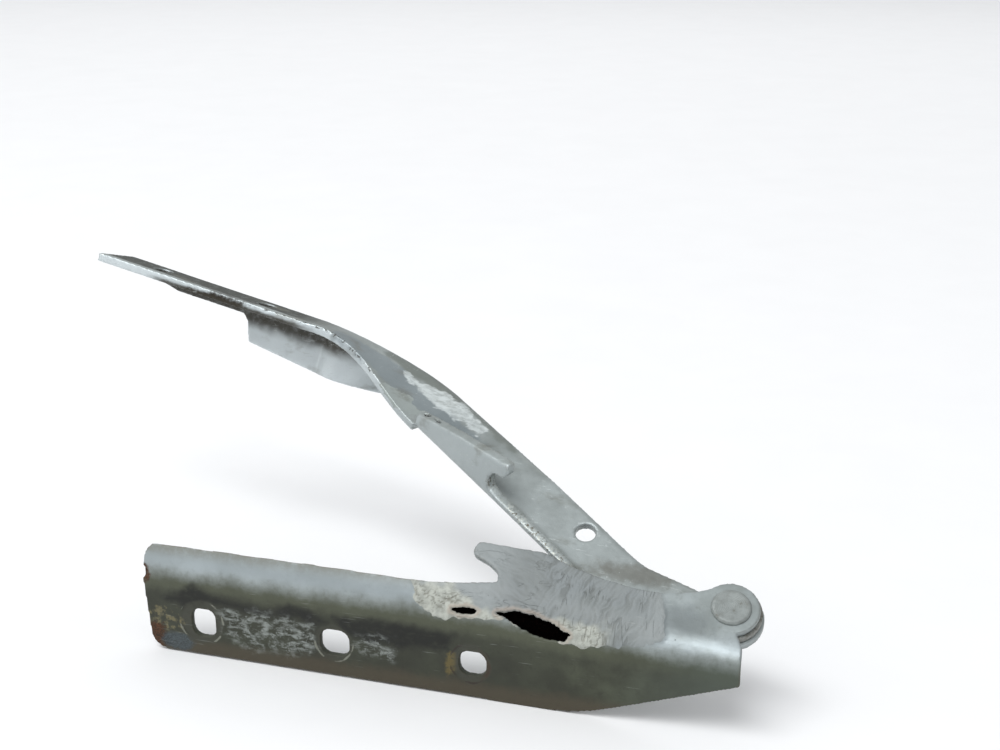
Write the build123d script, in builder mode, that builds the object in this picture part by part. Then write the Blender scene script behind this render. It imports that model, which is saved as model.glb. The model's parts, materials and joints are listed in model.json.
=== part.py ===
from build123d import *
import os
from math import cos, radians, sin, tan

os.makedirs("parts", exist_ok=True)

# Bonnet hinge, one side: a bolted body bracket and a cranked bonnet arm joined by one riveted pivot.
# Row frame: origin at the middle body bolt hole on the mounting face of the bracket.
# +X runs along the row of bolt holes toward the pivot, +Y into the car, +Z up. Millimetres.

# ---- body bracket ----
BOLT_PITCH = 60.0
BOLT_HOLE_CORNER = 4.5
FRONT_HOLE = (11.0, 13.2)
MIDDLE_HOLE = (12.8, 11.6)
REAR_HOLE = (11.4, 11.0)
BRACKET_T = 3.0
FACE_SKIM = 0.02
FRONT_END_X = -86.5
PIVOT_END_X = 168.5
LOWER_EDGE_Z = -15.5
BELLY_X = 104.0
PIVOT_END_Z = 7.5
BELLY_RADIUS = 70.0
FRONT_CORNER_R = 8.0
PIVOT_END_CORNER_R = 2.0

# ---- pivot and the ear plane it stands on ----
EAR_BEND = 60.0
EAR_TILT = 5.0
PIVOT = Vector(160.0, 21.5, 29.5)
BEND_R_PIVOT_END = 15.0
BEND_R_FRONT_END = 37.0
EAR_R = 11.5

# ---- oversize blank the bracket is trimmed from ----
BLANK_FRONT_X = -95.0
BLANK_PIVOT_X = 182.0
BLANK_BELOW = 40.0
BLANK_EAR_REACH = 60.0
TRIM_DEPTH = 90.0

# ---- riveted joint, measured along the pivot axis from the outer face of the ear ----
SHANK_R = 5.0
RUNNING_CLEARANCE = 0.05
HEAD_R = 8.0
HEAD_H = 1.4
HEAD_CHAMFER = 0.5
SPACER_R = 12.5
SPACER_T = 3.0
FACE_GAP = 0.3
BUSH_R = 7.0
TAIL_WASHER_R = 11.0
TAIL_WASHER_T = 1.5
TAIL_R = 7.5
TAIL_H = 2.5

# ---- bonnet arm ----
ARM_T = 4.0
ARM_EYE_R = 13.5
ARM_SLOPE = 37.2
PLATE_WIDTH = 27.0
PLATE_ROLL = 10.0
PLATE_WEB = 0.5
ROLL_R = 12.0
FOLD_R = 5.5
FOLD_R_INSIDE = 1.5
LIP_STOCK = 8.5
LIP_H = 2.8
LIP_RUN = 57.0
LIP_LEAN = 20.0
TAB_H = 28.0
TAB_CORNER_R = 1.5
PLATE_HOLE_R = 4.25
PLATE_HOLE_AT = (-64.6, 27.6)
CRANK_WIDTH = 29.0
CRANK_ROLL = 45.0
CRANK_WEB = 1.5
CRANK_TAB_H = 17.0
CRANK_TAB_LEAN = 8.0
BONNET_HEADING = 11.8
BONNET_TWIST = 43.0
BONNET_WIDTH = 27.0
BONNET_LENGTH = 125.0
BONNET_ROLL = 90.0
WEB_R = 8.0
WEB_DEPTH = 26.5
BONNET_HOLE_R = 4.5
BONNET_HOLE_PITCH = 60.0
BONNET_HOLE_INSET = 11.0
BONNET_HOLE_START = 28.0

# ---- cuts ----
CUT_THROUGH = 20.0
CUT_MARGIN = 2.0
FOLD_TRIM_BEFORE = 12.0
FOLD_TRIM_DEPTH = 36.0
WEB_TRIM_HALF = 40.0
TIP_TRIM_HALF = 60.0

# The ear plane: X runs from the pivot away from the bracket, so the bracket lies at negative X;
# Y runs up the ear and Z out of it along the rivet.
ear_normal = Vector(
    sin(radians(EAR_TILT)),
    -cos(radians(EAR_TILT)) * cos(radians(EAR_BEND)),
    cos(radians(EAR_TILT)) * sin(radians(EAR_BEND)),
)
along = Vector(1, 0, 0) - ear_normal * Vector(1, 0, 0).dot(ear_normal)
ear = Plane(origin=PIVOT, x_dir=along, z_dir=ear_normal)

ear_back = -BRACKET_T
arm_top = ear_back - SPACER_T - FACE_GAP
arm_back = arm_top - ARM_T
washer_top = arm_back - FACE_GAP
washer_back = washer_top - TAIL_WASHER_T


def bend_profile(x, radius):
    """Thick section of the bracket across its length: upright flange, bend, then the ear plane."""
    slope = ear_normal.Y * PIVOT.Y - ear_normal.X * (x - PIVOT.X)
    corner_z = PIVOT.Z + slope / ear_normal.Z
    lean_y = sin(radians(EAR_BEND))
    lean_z = cos(radians(EAR_BEND))
    tip_y = BLANK_EAR_REACH * lean_y
    tip_z = corner_z + BLANK_EAR_REACH * lean_z
    inner_z = corner_z - BRACKET_T * tan(radians(EAR_BEND / 2))
    with BuildSketch(Plane(origin=(x, 0, 0), x_dir=(0, 1, 0), z_dir=(1, 0, 0))) as profile:
        with BuildLine():
            Polyline(
                (-FACE_SKIM, -BLANK_BELOW),
                (-FACE_SKIM, corner_z),
                (tip_y, tip_z),
                (tip_y + BRACKET_T * lean_z, tip_z - BRACKET_T * lean_y),
                (BRACKET_T, inner_z),
                (BRACKET_T, -BLANK_BELOW),
                close=True,
            )
        make_face()
        outer = profile.vertices().sort_by_distance((-FACE_SKIM, corner_z))[0]
        fillet(outer, radius)
        inner = profile.vertices().sort_by_distance((BRACKET_T, inner_z))[0]
        fillet(inner, radius - BRACKET_T)
    return profile.sketch


with BuildPart() as body_bracket:
    # one sheet, bent along its whole length; the bend opens out toward the front end
    front_section = bend_profile(BLANK_FRONT_X, BEND_R_FRONT_END)
    pivot_section = bend_profile(BLANK_PIVOT_X, BEND_R_PIVOT_END)
    loft(sections=[front_section, pivot_section], ruled=True)

    # flange outline seen square on
    with BuildSketch(Plane.XZ) as front_outline:
        with BuildLine():
            Polyline(
                (FRONT_END_X + 1.5, LOWER_EDGE_Z + 0.5),
                (BELLY_X, LOWER_EDGE_Z),
                (PIVOT_END_X - 0.5, PIVOT_END_Z),
                (PIVOT_END_X + 0.3, PIVOT_END_Z + 8),
                (PIVOT_END_X - 1.5, PIVOT_END_Z + 13),
                (PIVOT_END_X + 8, PIVOT_END_Z + 13.5),
                (PIVOT_END_X + 8, 70),
                (FRONT_END_X - 1.5, 70),
                (FRONT_END_X - 1.5, 22),
                close=True,
            )
        make_face()
        belly = front_outline.vertices().sort_by_distance((BELLY_X, LOWER_EDGE_Z))[0]
        fillet(belly, BELLY_RADIUS)
        low_front = front_outline.vertices().sort_by_distance((FRONT_END_X, LOWER_EDGE_Z))[0]
        fillet(low_front, FRONT_CORNER_R)
        low_pivot = front_outline.vertices().sort_by_distance((PIVOT_END_X, PIVOT_END_Z))[0]
        fillet(low_pivot, PIVOT_END_CORNER_R)
    # taken from the mounting plane backwards, so the flange face finishes exactly flat on it
    extrude(amount=-TRIM_DEPTH, mode=Mode.INTERSECT)

    # ear, hook and web outline seen along the rivet
    with BuildSketch(ear) as ear_outline:
        with BuildLine():
            Polyline(
                (14, -70),
                (7.5, -24),
                (7.0, -17.5),
                (4.2, -11.5),
                (0, -11.5),
                (0, 10.0),
                (-9, 7.4),
                (-15, 4.4),
                (-28, 1.0),
                (-38, 0.8),
                (-53, 2.8),
                (-66, 6.0),
                (-77, 9.9),
                (-105.8, 9.9),
                (-106.2, 3.4),
                (-99, 0.6),
                (-93.6, -3.0),
                (-93.0, -7.8),
                (-108, -10.7),
                (-121, -12.4),
                (-238, -14.4),
                (-246.5, -14.4),
                (-246.5, -24),
                (-255, -70),
                close=True,
            )
        make_face()
        Circle(EAR_R)
        for spot, radius in (
            ((-105.8, 9.9), 3.0),
            ((-106.2, 3.4), 2.6),
            ((-93.6, -3.0), 6.0),
            ((-246.5, -14.4), 5.5),
            ((-15, 4.4), 10.0),
            ((-66, 6.0), 10.0),
        ):
            corner = ear_outline.vertices().sort_by_distance(spot)[0]
            fillet(corner, radius)
    extrude(amount=TRIM_DEPTH, both=True, mode=Mode.INTERSECT)

    # three rounded holes for the body bolts: upright slot, level slot, and a snug one nearest the pivot
    with BuildSketch(Plane.XZ):
        with Locations((-BOLT_PITCH, 0)):
            RectangleRounded(*FRONT_HOLE, BOLT_HOLE_CORNER)
        RectangleRounded(*MIDDLE_HOLE, BOLT_HOLE_CORNER)
        with Locations((BOLT_PITCH, 0)):
            RectangleRounded(*REAR_HOLE, BOLT_HOLE_CORNER)
    extrude(amount=CUT_THROUGH, both=True, mode=Mode.SUBTRACT)
    # rivet hole through the ear
    with BuildSketch(ear):
        Circle(SHANK_R)
    extrude(amount=BRACKET_T + CUT_MARGIN, both=True, mode=Mode.SUBTRACT)
body_bracket.part.label = "body_bracket"
export_step(body_bracket.part, "parts/body_bracket.step")


def station(near_edge, heading, twist):
    """Cross-section plane of the arm: X across from the near edge, Y out of the top face, Z back."""
    run = Vector(-cos(radians(heading)), sin(radians(heading)), 0)
    square = Vector(sin(radians(heading)), cos(radians(heading)), 0)
    across = square * cos(radians(twist)) - Vector(0, 0, 1) * sin(radians(twist))
    local = Plane(origin=near_edge, x_dir=across, z_dir=-run)
    return Plane(ear.location * local.location)


def angle_section(plane, width, roll, radius, depth):
    """Sheet section: flat top of the given width, rolled over at the far edge into a web."""
    flat = width - radius * tan(radians(roll / 2))
    run = (cos(radians(roll)), -sin(radians(roll)))
    inward = (-sin(radians(roll)), -cos(radians(roll)))
    with BuildSketch(plane) as section:
        with BuildLine():
            top = Line((0, 0), (flat, 0))
            outer = JernArc(start=top @ 1, tangent=(1, 0), radius=radius, arc_size=-roll)
            web_end = (outer @ 1) + Vector(*run) * depth
            web_inner = web_end + Vector(*inward) * ARM_T
            Line(outer @ 1, web_end)
            Line(web_end, web_inner)
            web_root = web_inner - Vector(*run) * depth
            Line(web_inner, web_root)
            inner = JernArc(start=web_root, tangent=(-run[0], -run[1]), radius=radius - ARM_T, arc_size=roll)
            Line(inner @ 1, (0, -ARM_T))
            Line((0, -ARM_T), (0, 0))
        make_face()
    return section.sketch


def tab_section(plane, width, roll, radius, depth, lean, height):
    """The same sheet with its near edge folded up into a leaning tab."""
    flat = width - radius * tan(radians(roll / 2))
    run = (cos(radians(roll)), -sin(radians(roll)))
    inward = (-sin(radians(roll)), -cos(radians(roll)))
    lean_in = sin(radians(lean))
    lean_up = cos(radians(lean))
    fold_x = ARM_T / lean_up + ARM_T * lean_in / lean_up
    with BuildSketch(plane) as section:
        with BuildLine():
            top = Line((fold_x, 0), (flat, 0))
            outer = JernArc(start=top @ 1, tangent=(1, 0), radius=radius, arc_size=-roll)
            web_end = (outer @ 1) + Vector(*run) * depth
            web_inner = web_end + Vector(*inward) * ARM_T
            Line(outer @ 1, web_end)
            Line(web_end, web_inner)
            web_root = web_inner - Vector(*run) * depth
            Line(web_inner, web_root)
            inner = JernArc(start=web_root, tangent=(-run[0], -run[1]), radius=radius - ARM_T, arc_size=roll)
            Polyline(
                inner @ 1,
                (0, -ARM_T),
                (height * lean_in, height * lean_up - ARM_T),
                (height * lean_in + ARM_T * lean_up, height * lean_up - ARM_T - ARM_T * lean_in),
                (fold_x, 0),
            )
        make_face()
        fillet(section.vertices().sort_by_distance((0, -ARM_T))[0], FOLD_R)
        fillet(section.vertices().sort_by_distance((fold_x, 0))[0], FOLD_R_INSIDE)
    return section.sketch


# stations of the arm, each with its near edge given in ear coordinates
tab_start = station((-100.4, 28.0, arm_top), ARM_SLOPE, 0)
tab_end = station((-151.0, 66.0, -3.0), ARM_SLOPE, 15)
crank_mid = station((-176.0, 88.0, 1.0), 34, 30)
crank_out = station((-197.0, 103.4, 4.4), 21, 40)
bonnet_start = station((-215.0, 108.5, 5.1), BONNET_HEADING, BONNET_TWIST)

# face of the near-edge fold: X along the edge, Y up from the back of the plate, Z into the plate
fold_start = Vector(-82.9, 14.7, arm_back)
fold_step = Vector(-cos(radians(ARM_SLOPE)), sin(radians(ARM_SLOPE)), 0)
fold_origin = ear.from_local_coords(fold_start)
fold_run = ear.from_local_coords(fold_start + fold_step) - fold_origin
fold_plane = Plane(origin=fold_origin, x_dir=fold_run, z_dir=fold_run.cross(ear_normal))

with BuildPart() as bonnet_arm:
    # flat plate from the pivot eye along to the folded tab
    with BuildSketch(ear.offset(arm_back)):
        with BuildLine():
            Polyline(
                (0, -ARM_EYE_R),
                (-22, -12.5),
                (-44, -8.0),
                (-60.0, 4.0),
                (-82.0, 22.5),
                (-74.5, 37.0),
                (-71.6, 40.6),
                (-59.2, 30.8),
                (-48.5, 22.6),
                (-36, 15.8),
                (-22.2, 11.8),
                (0, 5.0),
                close=True,
            )
        make_face()
        Circle(ARM_EYE_R)
    extrude(amount=ARM_T)

    # low stiffening lip along the near edge, then the rising tab
    with BuildSketch(tab_start):
        add(tab_section(Plane.XY, PLATE_WIDTH, PLATE_ROLL, ROLL_R, PLATE_WEB, LIP_LEAN, LIP_STOCK))
    extrude(amount=LIP_RUN)

    loft(
        sections=[
            tab_section(tab_start, PLATE_WIDTH, PLATE_ROLL, ROLL_R, PLATE_WEB, LIP_LEAN, TAB_H),
            tab_section(tab_end, CRANK_WIDTH, CRANK_ROLL, ROLL_R, CRANK_WEB, CRANK_TAB_LEAN, CRANK_TAB_H),
        ],
        ruled=True,
    )
    # free edge of the fold: low lip, hook-shaped notch, then the tab falling toward the crank
    with BuildSketch(fold_plane.offset(-FOLD_TRIM_BEFORE)) as free_edge:
        with BuildLine():
            Polyline(
                (-60, ARM_T),
                (-28, ARM_T),
                (-12, ARM_T + LIP_H),
                (29, ARM_T + LIP_H),
                (35, 8.5),
                (36.5, 13),
                (34.5, 16.5),
                (28.5, 18.5),
                (26.5, 21.5),
                (28, 25),
                (34, 23.5),
                (60, 18.3),
                (88, 11.5),
                (110, 60),
                (-60, 60),
                close=True,
            )
        make_face()
        for spot in ((35, 8.5), (36.5, 13), (34.5, 16.5), (28, 25)):
            fillet(free_edge.vertices().sort_by_distance(spot)[0], TAB_CORNER_R)
    extrude(amount=FOLD_TRIM_DEPTH, mode=Mode.SUBTRACT)

    # the crank: the sheet twists over while its far edge rolls down into a web
    loft(
        sections=[
            angle_section(tab_end, CRANK_WIDTH, CRANK_ROLL, ROLL_R, CRANK_WEB),
            angle_section(crank_mid, width=31.8, roll=75, radius=10, depth=13),
            angle_section(crank_out, width=23.0, roll=88, radius=WEB_R, depth=18.5),
            angle_section(bonnet_start, BONNET_WIDTH, BONNET_ROLL, WEB_R, WEB_DEPTH - WEB_R),
        ],
    )
    # straight bonnet flange with its web
    with BuildSketch(bonnet_start):
        add(angle_section(Plane.XY, BONNET_WIDTH, BONNET_ROLL, WEB_R, WEB_DEPTH - WEB_R))
    extrude(amount=-BONNET_LENGTH)
    # lower edge of the web, stepped up past the deep part and running out toward the tip
    with BuildSketch(Plane(bonnet_start.location * Plane.YZ.location)):
        with BuildLine():
            Polyline(
                (-WEB_DEPTH, 0),
                (-22.7, -40),
                (-13, -43),
                (-10, -46),
                (-10, -85),
                (-4.5, -112),
                (-4.5, -140),
                (-60, -140),
                (-60, 0),
                close=True,
            )
        make_face()
    extrude(amount=WEB_TRIM_HALF, both=True, mode=Mode.SUBTRACT)
    # tip of the flange, cut on the slant
    with BuildSketch(Plane(bonnet_start.location * Plane.XZ.location)):
        with BuildLine():
            Polyline((-5, -120.5), (30, -110), (40, -110), (40, -150), (-5, -150), close=True)
        make_face()
    extrude(amount=TIP_TRIM_HALF, both=True, mode=Mode.SUBTRACT)

    # bush bore and round hole through the plate, then two bolt holes through the bonnet flange
    with BuildSketch(ear.offset(arm_top + CUT_MARGIN)):
        Circle(BUSH_R)
        with Locations(PLATE_HOLE_AT):
            Circle(PLATE_HOLE_R)
    extrude(amount=-ARM_T - 2 * CUT_MARGIN, mode=Mode.SUBTRACT)
    inner_hole = (BONNET_HOLE_INSET, -BONNET_HOLE_START)
    outer_hole = (BONNET_HOLE_INSET, -BONNET_HOLE_START - BONNET_HOLE_PITCH)
    with BuildSketch(Plane(bonnet_start.location * Plane.XZ.location)):
        with Locations(inner_hole, outer_hole):
            Circle(BONNET_HOLE_R)
    extrude(amount=CUT_THROUGH, both=True, mode=Mode.SUBTRACT)
bonnet_arm.part.label = "bonnet_arm"
export_step(bonnet_arm.part, "parts/bonnet_arm.step")


with BuildPart() as pivot_rivet:
    with BuildSketch(ear.offset(washer_back)):
        Circle(SHANK_R)
    extrude(amount=-washer_back)
    with BuildSketch(ear):
        Circle(HEAD_R)
    extrude(amount=HEAD_H)
    chamfer(pivot_rivet.faces().sort_by(Axis.Z)[-1].edges(), HEAD_CHAMFER)
    with BuildSketch(ear.offset(washer_back)):
        Circle(TAIL_R)
    extrude(amount=-TAIL_H)
pivot_rivet.part.label = "pivot_rivet"
export_step(pivot_rivet.part, "parts/pivot_rivet.step")

with BuildPart() as pivot_spacer:
    with BuildSketch(ear.offset(ear_back)):
        Circle(SPACER_R)
        Circle(SHANK_R, mode=Mode.SUBTRACT)
    extrude(amount=-SPACER_T)
pivot_spacer.part.label = "pivot_spacer"
export_step(pivot_spacer.part, "parts/pivot_spacer.step")

with BuildPart() as pivot_bush:
    with BuildSketch(ear.offset(arm_top)):
        Circle(BUSH_R)
        Circle(SHANK_R + RUNNING_CLEARANCE, mode=Mode.SUBTRACT)
    extrude(amount=-ARM_T)
pivot_bush.part.label = "pivot_bush"
export_step(pivot_bush.part, "parts/pivot_bush.step")

with BuildPart() as tail_washer:
    with BuildSketch(ear.offset(washer_top)):
        Circle(TAIL_WASHER_R)
        Circle(SHANK_R, mode=Mode.SUBTRACT)
    extrude(amount=-TAIL_WASHER_T)
tail_washer.part.label = "tail_washer"
export_step(tail_washer.part, "parts/tail_washer.step")
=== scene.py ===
import json
import math

import bmesh
import bpy
import numpy as np
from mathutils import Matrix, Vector, noise


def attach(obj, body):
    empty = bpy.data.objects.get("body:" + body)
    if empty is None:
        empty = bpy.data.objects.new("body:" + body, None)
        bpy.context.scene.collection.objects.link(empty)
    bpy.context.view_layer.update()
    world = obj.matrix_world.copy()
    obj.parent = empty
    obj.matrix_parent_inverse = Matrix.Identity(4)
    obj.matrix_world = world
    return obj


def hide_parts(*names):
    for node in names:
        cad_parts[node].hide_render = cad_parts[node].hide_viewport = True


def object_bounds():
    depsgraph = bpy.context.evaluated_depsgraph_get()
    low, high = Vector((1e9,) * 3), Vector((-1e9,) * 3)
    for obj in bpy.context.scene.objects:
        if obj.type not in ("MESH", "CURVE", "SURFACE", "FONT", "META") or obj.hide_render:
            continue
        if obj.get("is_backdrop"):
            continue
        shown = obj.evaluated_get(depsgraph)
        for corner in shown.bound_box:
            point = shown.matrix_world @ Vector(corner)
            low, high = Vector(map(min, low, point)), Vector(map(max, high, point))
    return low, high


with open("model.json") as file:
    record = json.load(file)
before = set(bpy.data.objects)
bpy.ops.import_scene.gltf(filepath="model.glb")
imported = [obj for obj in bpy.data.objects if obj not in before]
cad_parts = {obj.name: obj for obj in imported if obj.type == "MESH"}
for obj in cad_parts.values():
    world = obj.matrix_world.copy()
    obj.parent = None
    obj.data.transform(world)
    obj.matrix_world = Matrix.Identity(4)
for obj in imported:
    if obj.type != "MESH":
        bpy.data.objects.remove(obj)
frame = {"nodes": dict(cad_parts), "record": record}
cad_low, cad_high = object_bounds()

# Bonnet hinge, in metres, in the CAD's frame: +X along the bolt row toward the pivot, +Y into the car, +Z up.
# Shapes and masks are worked out in millimetres.
MM = 0.001
MERGE_M = 1e-6
TINY = 1e-9
FAR = 1e9
SEED_SHIFT = 17.3
LATHE_STEPS = 128
LATHE_GRAIN = 0.35
BRACKET_VOXEL = 0.55
ARM_VOXEL = 0.65
ROUNDING_PASSES = 3
RELIEF = 0.12
BOLT_PITCH = 60.0
hinge = frame["record"]["behaviour"]["joints"][0]
pivot = np.array(hinge["pos_m"]) / MM
out = -np.array(hinge["axis"])
out /= np.linalg.norm(out)
along = np.array([1.0, 0.0, 0.0]) - out * out[0]
along /= np.linalg.norm(along)
up = np.cross(out, along)

# The straight bonnet flange: origin on its near edge, then the directions across it, out of its top face,
# and back along it to the pivot.
flange_origin = np.array([-53.7, 103.6, 104.4])
flange_across = np.array([0.08955, 0.966205, -0.24172])
flange_out = np.array([0.202677, 0.219939, 0.954227])
flange_back = np.array([0.975143, -0.134442, -0.176132])


# ---- geometry helpers ----
def settle(piece):
    """Replaces a piece's mesh with the result of its modifiers."""
    shown = piece.evaluated_get(bpy.context.evaluated_depsgraph_get())
    mesh = bpy.data.meshes.new_from_object(shown)
    piece.modifiers.clear()
    piece.data = mesh


def skin(node, name, voxel, rounding):
    """Fine closed mesh over a CAD node, with its square edges rounded off like pressed, painted sheet."""
    source = frame["nodes"][node]
    shell = bmesh.new()
    shell.from_mesh(source.data)
    shell.transform(source.matrix_world)
    bmesh.ops.remove_doubles(shell, verts=shell.verts, dist=MERGE_M)
    mesh = bpy.data.meshes.new(name)
    shell.to_mesh(mesh)
    shell.free()
    piece = bpy.data.objects.new(name, mesh)
    bpy.context.scene.collection.objects.link(piece)
    remesh = piece.modifiers.new("remesh", "REMESH")
    remesh.mode = "VOXEL"
    remesh.voxel_size = voxel * MM
    smooth = piece.modifiers.new("rounding", "SMOOTH")
    smooth.factor = 0.5
    smooth.iterations = rounding
    settle(piece)
    piece.data.shade_smooth()
    return piece


def read_mesh(mesh):
    """Vertex positions in millimetres and vertex normals."""
    count = len(mesh.vertices)
    places = np.empty(count * 3)
    mesh.vertices.foreach_get("co", places)
    normals = np.empty(count * 3)
    mesh.vertex_normals.foreach_get("vector", normals)
    return places.reshape(-1, 3) / MM, normals.reshape(-1, 3)


def write_mesh(mesh, places, masks):
    mesh.vertices.foreach_set("co", (places * MM).ravel())
    for name, values in masks.items():
        layer = mesh.attributes.new(name, "FLOAT", "POINT")
        layer.data.foreach_set("value", np.clip(values, 0.0, 1.0).astype(np.float32))
    mesh.update()


def edge_mask(mesh, spread):
    """1 on outside corners, 0 on flats: how far each vertex stands above its neighbours, spread out."""
    places, normals = read_mesh(mesh)
    ends = np.empty(len(mesh.edges) * 2, dtype=np.int32)
    mesh.edges.foreach_get("vertices", ends)
    a, b = ends.reshape(-1, 2).T
    gap = places[b] - places[a]
    length = np.linalg.norm(gap, axis=1) + TINY
    total = np.bincount(a, minlength=len(places)) + np.bincount(b, minlength=len(places))
    value = np.bincount(a, -(normals[a] * gap).sum(1) / length, len(places))
    value += np.bincount(b, (normals[b] * gap).sum(1) / length, len(places))
    value /= total
    for _ in range(spread):
        value = (np.bincount(a, value[b], len(places)) + np.bincount(b, value[a], len(places))) / total
    return value


def field(places, scale, seed, stretch=(1.0, 1.0, 1.0)):
    """Smooth noise from -1 to 1 over the places, with features about 1/scale millimetres long."""
    spots = places * (scale * np.array(stretch)) + seed * SEED_SHIFT
    return np.array([noise.noise(Vector(spot)) for spot in spots])


def inside(points, corners):
    """Signed distance in millimetres from 2-D points to the border of a polygon, positive inside."""
    nearest = np.full(len(points), FAR)
    odd = np.zeros(len(points), dtype=bool)
    corners = np.array(corners, dtype=float)
    for start, end in zip(corners, np.roll(corners, -1, axis=0)):
        side = end - start
        gap = points - start
        part = np.clip(gap @ side / (side @ side), 0, 1)
        nearest = np.minimum(nearest, np.linalg.norm(gap - part[:, None] * side, axis=1))
        level = (start[1] > points[:, 1]) != (end[1] > points[:, 1])
        rise = side[1] if side[1] else TINY
        odd ^= level & (points[:, 0] < start[0] + gap[:, 1] * side[0] / rise)
    return np.where(odd, nearest, -nearest)


def band(places, points):
    """Signed distance inside a band that runs along (x, y, z, half width) points."""
    best = np.full(len(places), -FAR)
    for start, end in zip(np.array(points[:-1], dtype=float), np.array(points[1:], dtype=float)):
        side = end[:3] - start[:3]
        part = np.clip((places - start[:3]) @ side / (side @ side), 0, 1)
        gap = np.linalg.norm(places - start[:3] - part[:, None] * side, axis=1)
        best = np.maximum(best, start[3] + (end[3] - start[3]) * part - gap)
    return best


def soft_step(value, low, high):
    share = np.clip((value - low) / (high - low), 0, 1)
    return share * share * (3 - 2 * share)


def lathe(name, profile, base, wobble=0.0):
    """Piece turned about the pivot axis from a closed profile of (radius, height from base) in mm."""
    shell = bmesh.new()
    rings = []
    for turn in range(LATHE_STEPS):
        angle = 2 * math.pi * turn / LATHE_STEPS
        spoke = along * math.cos(angle) + up * math.sin(angle)
        ring = []
        for radius, height in profile:
            spot = base + spoke * radius + out * height
            lift = noise.noise(Vector(spot * LATHE_GRAIN)) * wobble
            ring.append(shell.verts.new(Vector((spot + (spoke + out) * lift) * MM)))
        rings.append(ring)
    for turn in range(LATHE_STEPS):
        here = rings[turn]
        there = rings[(turn + 1) % LATHE_STEPS]
        for k in range(len(profile)):
            after = (k + 1) % len(profile)
            if profile[k][0] == 0 and profile[after][0] == 0:
                continue
            shell.faces.new((here[k], there[k], there[after], here[after]))
    bmesh.ops.remove_doubles(shell, verts=shell.verts, dist=MERGE_M)
    bmesh.ops.recalc_face_normals(shell, faces=shell.faces)
    mesh = bpy.data.meshes.new(name)
    shell.to_mesh(mesh)
    shell.free()
    piece = bpy.data.objects.new(name, mesh)
    bpy.context.scene.collection.objects.link(piece)
    mesh.shade_smooth()
    return piece


def rounded(points, radius, steps=4):
    """Profile with every corner turned into a short arc."""
    result = []
    count = len(points)
    for k in range(count):
        corner = np.array(points[k], dtype=float)
        before = np.array(points[k - 1], dtype=float) - corner
        after = np.array(points[(k + 1) % count], dtype=float) - corner
        cut = min(radius, np.linalg.norm(before) / 2.2, np.linalg.norm(after) / 2.2)
        first = corner + before / np.linalg.norm(before) * cut
        last = corner + after / np.linalg.norm(after) * cut
        for step in range(steps + 1):
            t = step / steps
            result.append(tuple((1 - t) ** 2 * first + 2 * t * (1 - t) * corner + t * t * last))
    return result


# ---- material helpers ----
def tone(red, green, blue):
    """Linear colour from display values of 0 to 255."""
    def linear(value):
        value /= 255
        return value / 12.92 if value <= 0.04045 else ((value + 0.055) / 1.055) ** 2.4
    return (linear(red), linear(green), linear(blue), 1.0)


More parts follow.
